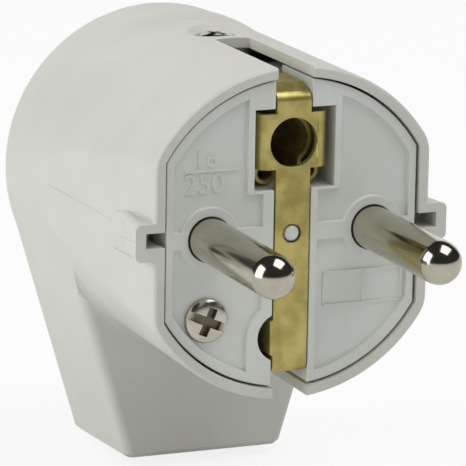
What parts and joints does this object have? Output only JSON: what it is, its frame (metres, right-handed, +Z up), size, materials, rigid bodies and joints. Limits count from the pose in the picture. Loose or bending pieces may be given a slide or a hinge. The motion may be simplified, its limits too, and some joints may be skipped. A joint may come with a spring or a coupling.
{
  "type": "angled power plug",
  "caption": "Angled earthed mains plug with round contact pins, a folded brass earth strap and a tapering cable outlet below the back of its casing.",
  "frame": {"origin": "middle of the contact pin pattern, on the plane of the casing's rim", "axes": "+X to the right and +Z up as the contact face is seen, +Y back into the plug; the pins point along -Y and the cable outlet along -Z"},
  "size_m": [0.0364, 0.0616, 0.051],
  "materials": {
    "casing_plastic": "satin moulded thermoplastic, pale grey white",
    "carrier_plastic": "moulded thermoset, cool grey white",
    "nickel": "nickel-plated and polished",
    "brass": "rolled sheet",
    "steel": "zinc-plated"
  },
  "bodies": {
    "root": {"casing": "casing_plastic", "contact_carrier": "carrier_plastic", "left_pin": "nickel", "right_pin": "nickel", "left_terminal_screw": "steel", "right_terminal_screw": "steel", "earth_strap": "brass", "earth_sleeve": "brass", "earth_terminal_screw": "steel", "earth_terminal_washer": "steel", "carrier_screw": "steel", "casing_screw": "steel", "cord_clamp_bar": "carrier_plastic", "left_clamp_screw": "steel", "right_clamp_screw": "steel"}
  },
  "joints": []
}
